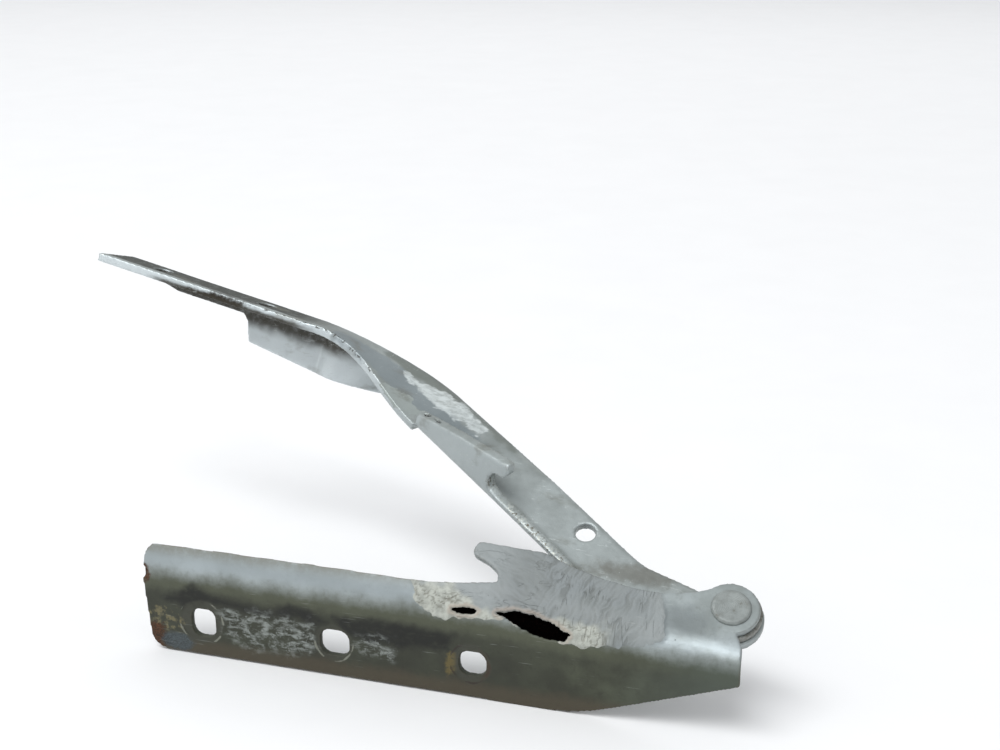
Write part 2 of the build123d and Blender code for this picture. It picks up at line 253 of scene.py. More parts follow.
class Graph:
    """Node tree of one procedural material, working in millimetres on the piece's own coordinates."""

    def __init__(self, name):
        self.material = bpy.data.materials.new(name)
        self.material.use_nodes = True
        self.tree = self.material.node_tree
        self.tree.nodes.clear()
        self.shader = self.node("ShaderNodeBsdfPrincipled")
        end = self.node("ShaderNodeOutputMaterial")
        self.tree.links.new(self.shader.outputs[0], end.inputs[0])
        place = self.node("ShaderNodeTexCoord")
        scaled = self.node("ShaderNodeVectorMath", operation="SCALE")
        self.tree.links.new(place.outputs["Object"], scaled.inputs[0])
        scaled.inputs["Scale"].default_value = 1 / MM
        self.mm = scaled.outputs[0]
        self.x, self.y, self.z = self.split(self.mm)

    def node(self, kind, **settings):
        made = self.tree.nodes.new(kind)
        for key, value in settings.items():
            setattr(made, key, value)
        return made

    def plug(self, socket, value):
        if isinstance(value, bpy.types.NodeSocket):
            self.tree.links.new(value, socket)
        else:
            socket.default_value = value

    def split(self, vector):
        made = self.node("ShaderNodeSeparateXYZ")
        self.plug(made.inputs[0], vector)
        return made.outputs

    def math(self, operation, a, b=0.0):
        made = self.node("ShaderNodeMath", operation=operation)
        self.plug(made.inputs[0], a)
        self.plug(made.inputs[1], b)
        return made.outputs[0]

    def times(self, *values):
        result = values[0]
        for value in values[1:]:
            result = self.math("MULTIPLY", result, value)
        return result

    def plus(self, *values):
        result = values[0]
        for value in values[1:]:
            result = self.math("ADD", result, value)
        return result

    def vector(self, operation, a, b):
        made = self.node("ShaderNodeVectorMath", operation=operation)
        self.plug(made.inputs[0], a)
        self.plug(made.inputs[1], b)
        return made

    def blend(self, share, a, b):
        made = self.node("ShaderNodeMix", data_type="RGBA")
        self.plug(made.inputs[0], share)
        self.plug(made.inputs[6], a)
        self.plug(made.inputs[7], b)
        return made.outputs[2]

    def over(self, base, top, *shares):
        """The top tone laid over the base by the product of the shares."""
        return self.blend(self.times(*shares), base, top)

    def step(self, value, low, high, start=0.0, end=1.0):
        made = self.node("ShaderNodeMapRange", interpolation_type="SMOOTHSTEP")
        for socket, number in zip(made.inputs, (value, low, high, start, end)):
            self.plug(socket, number)
        return made.outputs[0]

    def noise(self, scale, seed, detail=4.0, rough=0.55, warp=0.0, stretch=None):
        made = self.node("ShaderNodeTexNoise", noise_dimensions="4D")
        where = self.vector("MULTIPLY", self.mm, stretch).outputs[0] if stretch else self.mm
        self.plug(made.inputs["Vector"], where)
        settings = {"W": seed, "Scale": scale, "Detail": detail, "Roughness": rough, "Distortion": warp}
        for key, value in settings.items():
            made.inputs[key].default_value = value
        return made.outputs[0]

    def cells(self, scale, seed, feature="F1"):
        made = self.node("ShaderNodeTexVoronoi", voronoi_dimensions="4D", feature=feature)
        self.plug(made.inputs["Vector"], self.mm)
        made.inputs["W"].default_value = seed
        made.inputs["Scale"].default_value = scale
        return made.outputs

    def crevice(self, reach):
        """1 deep in corners and under overhangs of the piece, 0 in the open; reach in millimetres."""
        made = self.node("ShaderNodeAmbientOcclusion", samples=6, only_local=True)
        made.inputs["Distance"].default_value = reach * MM
        return self.step(made.outputs["AO"], 0.78, 0.25)

    def hairs(self, stretch, seed, warp, width):
        """Thin wandering lines, as a bristle leaves."""
        level = self.noise(1.0, seed, detail=1.5, rough=0.4, warp=warp, stretch=stretch)
        return self.step(self.math("ABSOLUTE", self.math("SUBTRACT", level, 0.5)), width, width * 0.3)

    def mask(self, name):
        made = self.node("ShaderNodeAttribute", attribute_name=name)
        return made.outputs["Fac"]

    def ragged(self, value, amount, scale, seed, low=0.42, high=0.58):
        """Mask with a torn border instead of a soft one."""
        grain = self.math("SUBTRACT", self.noise(scale, seed), 0.5)
        return self.step(self.plus(value, self.times(grain, amount)), low, high)

    def spot(self, centre, radii, seed, torn=0.8, scale=0.35, border=0.25):
        """Round or oval patch with a torn border; radii in millimetres."""
        gap = self.vector("SUBTRACT", self.mm, centre).outputs[0]
        scaled = self.vector("DIVIDE", gap, radii).outputs[0]
        size = self.node("ShaderNodeVectorMath", operation="LENGTH")
        self.plug(size.inputs[0], scaled)
        grain = self.times(self.math("SUBTRACT", self.noise(scale, seed), 0.5), torn * 2)
        return self.step(self.plus(size.outputs["Value"], grain), 1.0 + border, 1.0 - border)

    def finish(self, colour, roughness, metallic, height, depth):
        """Connects the result; height is the bump in units of depth millimetres."""
        self.plug(self.shader.inputs["Base Color"], colour)
        self.plug(self.shader.inputs["Roughness"], roughness)
        self.plug(self.shader.inputs["Metallic"], metallic)
        bump = self.node("ShaderNodeBump")
        bump.inputs["Strength"].default_value = 1.0
        bump.inputs["Distance"].default_value = depth * MM
        self.plug(bump.inputs["Height"], height)
        self.plug(self.shader.inputs["Normal"], bump.outputs[0])
        return self.material


def chips(graph, pitch, radius, seed, share):
    """Small scattered chips, 1 inside one: a share of the cells, pitch millimetres apart, has one."""
    cell = graph.cells(1 / pitch, seed)
    chosen = graph.math("LESS_THAN", graph.split(cell["Color"])[0], share)
    wander = graph.times(graph.noise(1.1, seed + 3), radius * 2.5)
    reach = graph.plus(graph.times(cell["Distance"], pitch), wander)
    return graph.times(chosen, graph.step(reach, radius * 2.2, radius * 1.9))


def scratches(graph, stretch, seed, density):
    """Fine directional lines."""
    line = graph.noise(1.0, seed, detail=2.0, stretch=stretch)
    return graph.step(line, 1 - density, 1 - density + 0.05)


# ---- body bracket ----
# Outlines of the wear, as (x, z) corners: the sealer coat, the two rust tears in it, smears and scuffs.
COAT = [(32, 31), (37, 22), (46, 18.5), (61, 20), (75, 21), (98, 15.5), (112, 15.5), (128, 18), (137, 20),
        (136, 27), (130, 34), (110, 70), (45, 70), (40, 40)]
TEARS = (
    [(69, 23.2), (77, 24.4), (84, 24), (93, 21.5), (99.5, 18.5), (98, 16), (91, 15.6), (84, 17), (77, 20.2)],
    [(51, 22.9), (56, 23.8), (61.5, 23.2), (60, 21.8), (55, 21.2), (51, 22)],
)
SMEARS = (
    [(-78, 9), (-64, 17.5), (-58, 15), (-48, 12.5), (-28, 10), (-20, 14.5), (-13, 13.5), (-3, 9), (-8, 7.5),
     (-20, 9), (-30, 7), (-48, 9), (-58, 10), (-62, 8), (-70, 7)],
    [(0, 12), (25, 13), (52, 12), (50, 5), (20, 2), (6, 5)],
)
SCUFFS = (
    [(-54, 8), (-30, 9.5), (-10, 7), (-8, -4), (-20, -9), (-40, -8), (-50, -2)],
    [(11, 5), (24, 6), (26, -3), (12, -4)],
)
# bolt prints: centre x, centre z and radius of each
PRINTS = ((-60.9, 0.5, 10.2), (-0.3, 0.0, 8.4), (59.2, 0.0, 8.7))

bracket = skin("body_bracket", "bracket_sheet", BRACKET_VOXEL, ROUNDING_PASSES)
places, normals = read_mesh(bracket.data)
facing = soft_step(normals @ np.array([0.0, -0.7, 0.7]), 0.15, 0.45)
seen = places[:, [0, 2]]
ripple = field(places, 0.25, 1)
fine = field(places, 0.9, 2)
coat_edge = inside(seen, COAT) + ripple * 2.2 + fine * 0.35
coat = soft_step(coat_edge, -1.5, 1.5) * facing
tear_edge = np.maximum(*[inside(seen, corners) for corners in TEARS]) + fine * 0.4 + ripple * 0.5
tear = soft_step(tear_edge, -0.4, 0.4) * facing
smear = np.maximum(*[inside(seen, corners) for corners in SMEARS]) + ripple * 1.5 + fine * 0.5
scuff = np.maximum(*[inside(seen, corners) for corners in SCUFFS]) + ripple * 3
on_face = soft_step(-normals[:, 1], 0.8, 0.95)
bolt_gap = np.min([np.hypot(places[:, 0] - x, places[:, 2] - z) - radius for x, z, radius in PRINTS], axis=0)
from_bolt = (places[:, 0] + BOLT_PITCH * 1.5) % BOLT_PITCH - BOLT_PITCH / 2
turn = np.arctan2(places[:, 2], from_bolt)
ring_line = np.exp(-((bolt_gap - ripple * 0.35) / 0.5) ** 2) * on_face
round_print = np.stack([np.cos(turn), np.sin(turn), places[:, 0] / BOLT_PITCH], axis=1)
ring_line *= soft_step(field(round_print, 1.3, 6), -0.30, 0.25)

# brushed-on sealer: long ridges that fan out toward the pivot, finer cracked skin toward the front end
ear_x = (places - pivot) @ along
ear_y = (places - pivot) @ up
swirl = ripple * 1.2 + field(places, 0.07, 5) * 3.5
steep = soft_step(ear_x + swirl * 3, -78, -66)
across_a = np.stack([ear_x - ear_y * 0.25 + swirl, ear_y, swirl], axis=1)
across_b = np.stack([ear_x * 0.6 + ear_y + swirl, ear_y - ear_x, swirl], axis=1)
brush_a = np.abs(field(across_a, 0.72, 7, (1.0, 0.13, 0.2)))
brush_b = np.abs(field(across_b, 0.75, 8, (1.0, 0.15, 0.2)))
ridges = 0.42 - 1.3 * (brush_a * steep + (0.16 + brush_b * 0.5) * (1 - steep))
patchy = soft_step(field(places, 0.09, 9), -0.25, 0.25)
crackle = []
for spot in places * 0.30 + np.stack([fine, ripple, -fine], axis=1) * 0.35:
    reach = noise.voronoi(Vector(spot))[0]
    crackle.append(reach[1] - reach[0])
crackle = soft_step(0.09 - np.array(crackle), 0, 0.07) * soft_step(field(places, 0.16, 10), -0.05, 0.25)
cracked = soft_step(23 - places[:, 2] + ripple * 3 + soft_step(places[:, 0], 70, 45) * 9, -1.5, 2.5)
cracked *= soft_step(places[:, 0], 119, 109)
rim = np.exp(-((coat_edge - 0.6) / 1.1) ** 2)
lift = coat * (0.22 + ridges * 0.46 * (0.30 + 0.70 * patchy) * (1 - cracked * 0.7) + rim * 0.16)
lift -= coat * cracked * crackle * 0.16
lip = coat * np.exp(-((tear_edge + 0.9) / 0.7) ** 2)
lift += lip * 0.28
lift -= tear * 2.1
lift += ring_line * 0.24 - on_face * soft_step(bolt_gap, 0.0, -1.0) * 0.16
lift += ripple * 0.05 + field(places, 0.03, 11) * 0.12 * facing
nick = np.linalg.norm(places - np.array([-87.5, 0.5, 20.5]), axis=1)
lift -= soft_step(nick + fine * 0.8, 3.4, 1.6) * 0.9
corner = edge_mask(bracket.data, 2)
lift -= soft_step(corner, 0.10, 0.28) * np.maximum(0, field(places, 0.55, 12) - 0.12) * 0.9
worn = soft_step(edge_mask(bracket.data, 3), 0.05, 0.20)
write_mesh(bracket.data, places + normals * lift[:, None], {
    "coat": coat, "tear": tear, "smear": soft_step(smear, -2.5, 2.0), "scuff": soft_step(scuff, -3, 3),
    "ring": ring_line, "worn": worn, "ridge": ridges + 0.3, "crackle": crackle * cracked * coat,
    "print": on_face * soft_step(bolt_gap + ripple, 0.6, -0.6), "cracked": cracked, "lip": lip,
})
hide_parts("body_bracket")
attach(bracket, "bracket")

# display values of 0 to 255
BRACKET = {key: tone(*value) for key, value in {
    "silver_dull": (140, 147, 145),
    "silver_light": (162, 170, 170),
    "silver_mottle": (112, 115, 108),
    "primer_dark": (44, 47, 33),
    "primer_light": (68, 73, 56),
    "primer_mottle": (42, 43, 30),
    "primer_pivot_end": (66, 74, 64),
    "primer_deep": (32, 34, 22),
    "shoulder_highlight_dark": (72, 76, 58),
    "shoulder_highlight_light": (88, 92, 74),
    "painted_bend_highlight": (170, 180, 185),
    "bend_painted_shade": (116, 123, 124),
    "rim_darkening": (116, 116, 106),
    "sill_brown": (70, 62, 46),
    "smear": (17, 19, 14),
    "print": (56, 57, 47),
    "print_rear": (52, 40, 26),
    "yellow_stain": (124, 116, 82),
    "rust_dark": (44, 32, 22),
    "rust_light": (88, 56, 32),
    "ochre": (104, 90, 44),
    "blue_dark": (48, 56, 58),
    "blue_light": (70, 80, 84),
    "scuff": (146, 152, 148),
    "ring_light": (126, 128, 116),
    "ring_shadow_brown": (38, 28, 19),
    "cream_light": (178, 181, 172),
    "cream_dark": (154, 157, 149),
    "sealer_trough_shaded": (112, 117, 116),
    "sealer_ridge_lit": (131, 137, 138),
    "sealer_hair": (82, 86, 82),
    "sealer_cloud": (130, 135, 133),
    "sealer_thin": (154, 160, 160),
    "cream_hair": (112, 110, 98),
    "crackle": (92, 90, 78),
    "worn_edge": (96, 88, 72),
    "chip": (44, 42, 34),
    "scratch": (190, 194, 190),
    "grime_and_shade": (50, 46, 38),
    "tear_lip": (164, 150, 136),
    "pit_dark": (5, 4, 4),
    "pit_rust": (26, 14, 12),
}.items()}

g = Graph("bracket_paint_worn")
cloud = g.noise(0.05, 1.0, detail=5.0, rough=0.6)
mottle = g.noise(0.35, 2.0, detail=6.0, rough=0.65)
grain = g.noise(2.2, 3.0, detail=3.0)
silver = g.blend(g.step(cloud, 0.35, 0.65), BRACKET["silver_dull"], BRACKET["silver_light"])
silver = g.blend(g.step(mottle, 0.52, 0.78, 0.0, 0.55), silver, BRACKET["silver_mottle"])
primer = g.blend(g.step(cloud, 0.35, 0.68), BRACKET["primer_dark"], BRACKET["primer_light"])
primer = g.blend(g.step(mottle, 0.50, 0.75, 0.0, 0.7), primer, BRACKET["primer_mottle"])
pale_end = g.step(g.plus(g.x, g.times(cloud, 40)), 130, 185)
primer = g.blend(pale_end, primer, BRACKET["primer_pivot_end"])
height = g.plus(g.z, g.times(g.math("SUBTRACT", mottle, 0.5), 5), g.times(g.math("SUBTRACT", cloud, 0.5), 5))
sill = g.step(g.x, 60, 150, 20.5, 15.0)
above_sill = g.math("SUBTRACT", height, sill)
# Painted highlight: the primer is lightened in a band just below the sill, where the flange starts to turn
# into the bend; less of it toward the pivot end.
shoulder_highlight = g.step(above_sill, -10.0, -4.0)
primer = g.blend(g.step(g.x, 112, 76, 0.0, 0.55), primer, BRACKET["primer_deep"])
shoulder_highlight_tone = g.blend(cloud, BRACKET["shoulder_highlight_dark"], BRACKET["shoulder_highlight_light"])
primer = g.over(primer, shoulder_highlight_tone, shoulder_highlight, g.step(g.x, 100, 160, 0.66, 0.10))
upper = g.step(above_sill, -4.0, 5.0)
colour = g.blend(upper, primer, silver)
bend_top = g.step(g.x, 20, 110, 32.0, 27.0)
# Painted highlight: a pale band along the bend below its top, where the overhead lamp's reflection falls, set
# lower toward the pivot end.
highlight_top = g.math("SUBTRACT", bend_top, g.step(g.x, 110, 145, 0.0, 5.0))
below_top = g.step(g.math("SUBTRACT", g.z, highlight_top), 3.0, -3.0)
painted_bend_highlight = g.times(g.step(above_sill, 1.0, 5.5), below_top)
colour = g.over(colour, BRACKET["painted_bend_highlight"], painted_bend_highlight, 0.5)
# Painted shade: a duller patch that dims the bend's highlight near the pivot end.
highlight_damping_shade = g.spot((140.0, 9.0, 26.0), (14.0, 12.0, 5.0), 17.0, torn=0.4, border=0.5)
colour = g.over(colour, BRACKET["bend_painted_shade"], highlight_damping_shade, 0.65)
# A darker, rougher and less metallic band along the top rim toward the far end.
near_top = g.step(g.math("SUBTRACT", g.z, bend_top), -5.0, 0.5)
rim_darkening = g.times(near_top, g.step(g.x, 50, 20), g.step(mottle, 0.30, 0.58, 0.5, 1.0))
colour = g.over(colour, BRACKET["rim_darkening"], rim_darkening, 0.72)
low = g.step(height, -5.5, -12)
colour = g.over(colour, BRACKET["sill_brown"], low, 0.75)
streak = g.noise(0.34, 6.0, detail=8.0, rough=0.66, warp=0.4, stretch=(0.6, 1.0, 1.1))
dark = g.times(g.mask("smear"), g.step(streak, 0.30, 0.52, 0.6, 1.0))
colour = g.over(colour, BRACKET["smear"], dark, 0.94)
printed = g.mask("print")
colour = g.over(colour, BRACKET["print"], printed, g.step(mottle, 0.35, 0.6, 0.45, 0.8))
rear_print = g.times(printed, g.step(g.x, 61, 67))
colour = g.over(colour, BRACKET["print_rear"], rear_print, g.step(mottle, 0.42, 0.58, 0.3, 0.95))
rust_left = g.spot((-84.0, 0.0, -9.5), (7.0, 6.0, 6.5), 11.0)
rust_nick = g.spot((-87.0, 0.0, 20.0), (3.0, 5.0, 4.0), 12.0)
rust_ring = g.times(g.spot((51.5, 0.0, -1.5), (3.2, 5.0, 5.5), 13.0), g.step(g.x, 54, 51))
yellow = g.spot((-79.0, 0.0, -1.0), (8.0, 5.0, 6.0), 14.0, torn=1.2)
yellow = g.times(yellow, g.step(mottle, 0.45, 0.60))
colour = g.over(colour, BRACKET["yellow_stain"], yellow, 0.6)
rust_tone = g.blend(g.step(grain, 0.35, 0.65), BRACKET["rust_dark"], BRACKET["rust_light"])
ochre = g.times(rust_ring, g.step(mottle, 0.38, 0.56, 0.2, 1.0))
colour = g.over(colour, BRACKET["ochre"], ochre, 0.7)
rust = g.math("MAXIMUM", rust_left, rust_nick)
colour = g.over(colour, rust_tone, rust, g.step(mottle, 0.32, 0.5, 0.45, 1.0))
blue = g.spot((-73.0, 0.0, -10.5), (7.5, 5.0, 4.2), 15.0, torn=0.5)
blue_tone = g.blend(g.step(grain, 0.4, 0.6), BRACKET["blue_dark"], BRACKET["blue_light"])
colour = g.over(colour, blue_tone, blue, 0.92)
level_marks = scratches(g, (0.30, 1.0, 0.9), 21.0, 0.42)
steep_marks = scratches(g, (0.7, 1.0, 0.4), 22.0, 0.40)
marks = g.math("MAXIMUM", level_marks, steep_marks)
pale = g.times(g.mask("scuff"), g.step(g.plus(streak, g.times(marks, 0.08)), 0.44, 0.66))
colour = g.over(colour, BRACKET["scuff"], pale, 0.78)
ring = g.ragged(g.mask("ring"), 0.9, 0.5, 24.0, 0.35, 0.7)
# Ring lines are lighter grey by the first two bolts; by the bolt nearest the pivot the line is dark brown,
# partly a painted shadow along the raised print's outer edge.
ring_tone = g.blend(g.step(g.x, 30, 40), BRACKET["ring_light"], BRACKET["ring_shadow_brown"])
colour = g.over(colour, ring_tone, ring, 0.75)
covered = g.ragged(g.mask("coat"), 0.35, 1.2, 25.0)
cream = g.blend(g.step(mottle, 0.4, 0.62), BRACKET["cream_light"], BRACKET["cream_dark"])
lines_a = g.times(g.hairs((0.40, 0.08, 0.08), 27.0, 0.6, 0.035), g.step(g.x, 84, 92))
lines_b = g.times(g.hairs((0.12, 0.20, 0.42), 28.0, 0.8, 0.03), g.step(g.x, 96, 84))
hair = g.times(g.math("MAXIMUM", lines_a, lines_b), g.step(g.noise(0.14, 29.0), 0.48, 0.60))
# Painted light on the brush ridges: the sealer is lighter on the ridges and darker in the troughs between
# them.
brushed = g.blend(g.step(g.mask("ridge"), 0.05, 0.75), BRACKET["sealer_trough_shaded"], BRACKET["sealer_ridge_lit"])
brushed = g.blend(g.times(hair, 0.45), brushed, BRACKET["sealer_hair"])
brushed = g.blend(g.step(cloud, 0.40, 0.62, 0.0, 0.5), brushed, BRACKET["sealer_cloud"])
thin_coat = g.math("MAXIMUM", g.step(g.x, 78, 62), g.times(g.step(g.x, 118, 138), 0.7))
brushed = g.blend(g.times(thin_coat, 0.6), brushed, BRACKET["sealer_thin"])
skin_tone = g.blend(g.mask("cracked"), brushed, g.blend(g.times(hair, 0.5), cream, BRACKET["cream_hair"]))
skin_tone = g.blend(g.times(g.mask("crackle"), 0.6), skin_tone, BRACKET["crackle"])
colour = g.blend(covered, colour, skin_tone)
ear_rim = g.spot((170.0, 24.0, 28.0), (7.0, 9.0, 9.0), 16.0)
worn_edge = g.times(g.mask("worn"), g.math("MAXIMUM", g.step(mottle, 0.40, 0.56), ear_rim))
colour = g.over(colour, BRACKET["worn_edge"], worn_edge, 0.75)
small = g.math("MAXIMUM", chips(g, 14.0, 0.9, 31.0, 0.4), chips(g, 7.0, 0.45, 32.0, 0.35))
colour = g.over(colour, BRACKET["chip"], small, 0.85)
fine_marks = g.times(scratches(g, (0.06, 1.2, 1.2), 33.0, 0.36), g.step(cloud, 0.45, 0.6))
colour = g.over(colour, BRACKET["scratch"], fine_marks, 0.15)
# Painted shade and grime: darker in the bracket's own corners and under its overhangs, from an occlusion
# mask.
grime_and_shade = g.times(g.crevice(5.0), g.step(mottle, 0.30, 0.55, 0.5, 1.0))
colour = g.over(colour, BRACKET["grime_and_shade"], grime_and_shade, 0.8)
torn = g.ragged(g.mask("tear"), 0.14, 1.4, 26.0, 0.30, 0.45)
colour = g.over(colour, BRACKET["tear_lip"], g.mask("lip"), covered, 0.6)
pit_tone = g.blend(g.step(grain, 0.52, 0.70), BRACKET["pit_dark"], BRACKET["pit_rust"])
colour = g.blend(torn, colour, pit_tone)
rough = g.plus(
    g.step(upper, 0, 1, 0.50, 0.37), g.times(grain, 0.08), g.times(rust, 0.35), g.times(covered, 0.12),
    g.times(rim_darkening, 0.2), g.times(dark, 0.15))
rough = g.math("MAXIMUM", rough, g.times(torn, 0.95))
dull = g.math("MAXIMUM", g.math("MAXIMUM", covered, rust), rim_darkening)
metal = g.math("MAXIMUM", g.times(upper, g.math("SUBTRACT", 1.0, dull), 0.5), torn)
strokes = g.plus(g.noise(0.8, 35.0, detail=2.0, warp=0.8), g.times(hair, -1.4))
relief = g.plus(
    g.times(grain, 0.25), g.times(mottle, 0.5), g.times(rust, grain, 1.6), g.times(small, -1.0),
    g.times(fine_marks, -0.3), g.times(pale, 0.4), g.times(covered, strokes, 0.9),
)
bracket.data.materials.append(g.finish(colour, rough, metal, relief, RELIEF))

# ---- bonnet arm ----
arm = skin("bonnet_arm", "arm_sheet", ARM_VOXEL, ROUNDING_PASSES)
places, normals = read_mesh(arm.data)
ripple = field(places, 0.25, 21)
fine = field(places, 0.9, 22)
from_flange = places - flange_origin
flange_run = -(from_flange @ flange_back)
flange_x = from_flange @ flange_across
top_side = soft_step(normals @ flange_out, 0.75, 0.92)
on_flange = soft_step(flange_run, -14, 12) * top_side * soft_step(flange_x + ripple, 2.0, 4.5)
# Bands along (x, y, z, half width) points: painted shade in the web's hollow and along its rolled edge, then
# worn strips, crack and flaky lip.
VALLEY_SHADE = [(-36, 104, 99, 5), (-12, 99, 87, 8), (3, 91, 80, 7), (19, 85, 74, 5), (52, 70, 63, 1.5)]
RUBBED = [(-3, 102, 84, 2), (10, 99, 78, 6), (24, 92, 73, 6), (38, 83, 68, 3)]
ROLLED_SHADE = [
    (-14, 112, 90, 4), (2, 110, 82, 6), (16, 107, 75, 6), (35, 95, 70, 5), (50, 83, 65, 4), (56, 76, 62, 1),
]
PALE = [(-8, 87, 83, 3), (2, 83, 79, 6), (13, 78, 76, 4)]
CRACK = [(10, 76, 71, 0.5), (16, 73, 77, 0.6), (19, 72, 76, 0.4), (25, 67, 76, 0.2)]
LIP = [(53, 51, 58, 3.0), (67, 42, 48, 2.6), (84, 31, 40, 2.6), (93, 26, 36, 2.6)]
valley_shade = soft_step(band(places, VALLEY_SHADE) + ripple * 1.2, -1.0, 1.5)
rubbed = soft_step(band(places, RUBBED) + ripple * 3 + fine, -1.5, 2.0)
rolled_shade = soft_step(band(places, ROLLED_SHADE) + ripple * 1.5, -1.5, 2.0)
pale = soft_step(band(places, PALE) + ripple * 3 + fine, -1.0, 1.5)
crack = soft_step(band(places, CRACK) + fine * 0.3, -0.35, 0.15)
flaky = soft_step(band(places, LIP) + fine * 0.8, -0.6, 0.8)
near_edge = [flange_origin + flange_back * -22, flange_origin]
near_edge += [pivot + along * a + up * b + out * c for a, b, c in ((-197, 103.4, 4.4), (-176, 88, 1))]
edge_line = band(places, [(*spot, 1.0) for spot in near_edge])
peeled = soft_step(edge_line + fine * 0.9 + ripple * 0.8, 0.1, 0.5)
# Painted light: a mask of the faces turned toward -Y, where the lamps are, for a lighter tone.
front = soft_step(-normals[:, 1], 0.15, 0.95)
below = from_flange @ flange_out
under = soft_step(below + ripple * 1.2, -17.5, -10.5) * soft_step(flange_x, 1.0, 5.0)
under *= soft_step(flange_run, -45, -10) * soft_step(normals @ flange_out, 0.4, 0.1)
edge_low = soft_step(below + ripple * 0.4, -1.6, -2.9) * soft_step(flange_x, 1.8, 0.6)
edge_low *= soft_step(flange_run, -12, 10) * soft_step(flange_run, 92, 78)
under = np.maximum(under, edge_low)
lift = field(places, 0.035, 23) * 0.14 + ripple * 0.05
lift -= crack * 0.9 + peeled * 0.22
lift += flaky * np.maximum(0, field(places, 0.8, 25)) * 0.35
lift += rubbed * np.maximum(0, field(places, 0.5, 26)) * 0.12
corner = edge_mask(arm.data, 2)
lift -= soft_step(corner, 0.10, 0.28) * np.maximum(0, field(places, 0.5, 24) - 0.15) * 1.0
write_mesh(arm.data, places + normals * lift[:, None], {
    "flange": on_flange, "worn": soft_step(edge_mask(arm.data, 3), 0.05, 0.20), "valley_shade": valley_shade,
    "rubbed": rubbed, "rolled_shade": rolled_shade, "pale": pale, "crack": crack, "flaky": flaky, "front": front,
    "under": under, "peeled": peeled,
})
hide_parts("bonnet_arm")
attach(arm, "arm")

# display values of 0 to 255
ARM = {key: tone(*value) for key, value in {
    "silver_dull": (132, 138, 135),
    "silver_light": (154, 161, 159),
    "silver_mottle": (116, 120, 114),
    "flange_top": (44, 47, 40),
    "tab_lit_front": (172, 180, 181),
    "lit_front_dull": (202, 211, 214),
    "lit_front_light": (216, 224, 227),
    "flange_line": (58, 58, 50),
    "rolled_shade_dark": (92, 98, 90),
    "rolled_shade_light": (110, 117, 111),
    "valley_shade_dark": (115, 125, 129),
    "valley_shade_light": (130, 140, 144),
    "pale": (152, 160, 157),
    "rubbed": (206, 213, 212),
    "flake_light": (176, 179, 172),
    "flake_dark": (88, 80, 64),
    "tip_shadow_and_dirt": (42, 36, 28),
    "shade": (104, 103, 92),
    "edge_bright": (172, 178, 176),
    "edge_brown": (84, 72, 56),
    "shadow_dirt": (52, 48, 38),
    "ear_shadow_tone": (92, 88, 76),
    "crevice_dirt_and_shade": (58, 52, 42),
    "crack": (34, 32, 28),
    "peeled": (60, 58, 52),
    "chip": (46, 44, 38),
    "scratch": (184, 190, 188),
}.items()}

g = Graph("arm_paint_scuffed")
cloud = g.noise(0.045, 41.0, detail=5.0, rough=0.6)
mottle = g.noise(0.4, 42.0, detail=6.0, rough=0.65)
grain = g.noise(2.2, 43.0, detail=3.0)
colour = g.blend(g.step(cloud, 0.36, 0.64), ARM["silver_dull"], ARM["silver_light"])
colour = g.blend(g.step(mottle, 0.55, 0.80, 0.0, 0.45), colour, ARM["silver_mottle"])
top = g.mask("flange")
colour = g.over(colour, ARM["flange_top"], top, g.step(mottle, 0.30, 0.55, 0.75, 0.95))
web_side = g.step(g.x, 10, -30)
# Painted light: faces turned toward -Y are lightened, strongly on the web, less on the tab.
lit_front_tone = g.blend(web_side, ARM["tab_lit_front"], g.blend(cloud, ARM["lit_front_dull"], ARM["lit_front_light"]))
colour = g.over(colour, lit_front_tone, g.mask("front"), 0.8)
lines = g.noise(0.9, 55.0, detail=3.0, stretch=(0.08, 0.5, 0.5))
colour = g.over(colour, ARM["flange_line"], top, g.step(lines, 0.56, 0.66), 0.6)
# Painted shade: darker along the rolled edge, where the crank's far side turns away from the light.
rolled_shade_tone = g.blend(mottle, ARM["rolled_shade_dark"], ARM["rolled_shade_light"])
colour = g.over(colour, rolled_shade_tone, g.mask("rolled_shade"), 0.75)
# Painted shade: darker blue-grey in the hollow of the crank.
valley_shade_tone = g.blend(mottle, ARM["valley_shade_dark"], ARM["valley_shade_light"])
colour = g.over(colour, valley_shade_tone, g.mask("valley_shade"), 0.7)
colour = g.blend(g.ragged(g.mask("pale"), 0.8, 0.6, 56.0), colour, ARM["pale"])
feather = g.noise(0.55, 45.0, detail=6.0, rough=0.7, warp=0.3, stretch=(0.45, 1.0, 0.8))
rubbed = g.times(g.step(g.plus(g.mask("rubbed"), feather), 0.78, 1.45), g.step(feather, 0.35, 0.6, 0.4, 1.0))
colour = g.over(colour, ARM["rubbed"], rubbed, 0.9)
flaky = g.mask("flaky")
flake = g.noise(0.9, 57.0, detail=4.0, rough=0.7)
colour = g.over(colour, ARM["flake_light"], flaky, g.step(flake, 0.52, 0.58), 0.9)
colour = g.over(colour, ARM["flake_dark"], flaky, g.step(flake, 0.46, 0.40), 0.9)
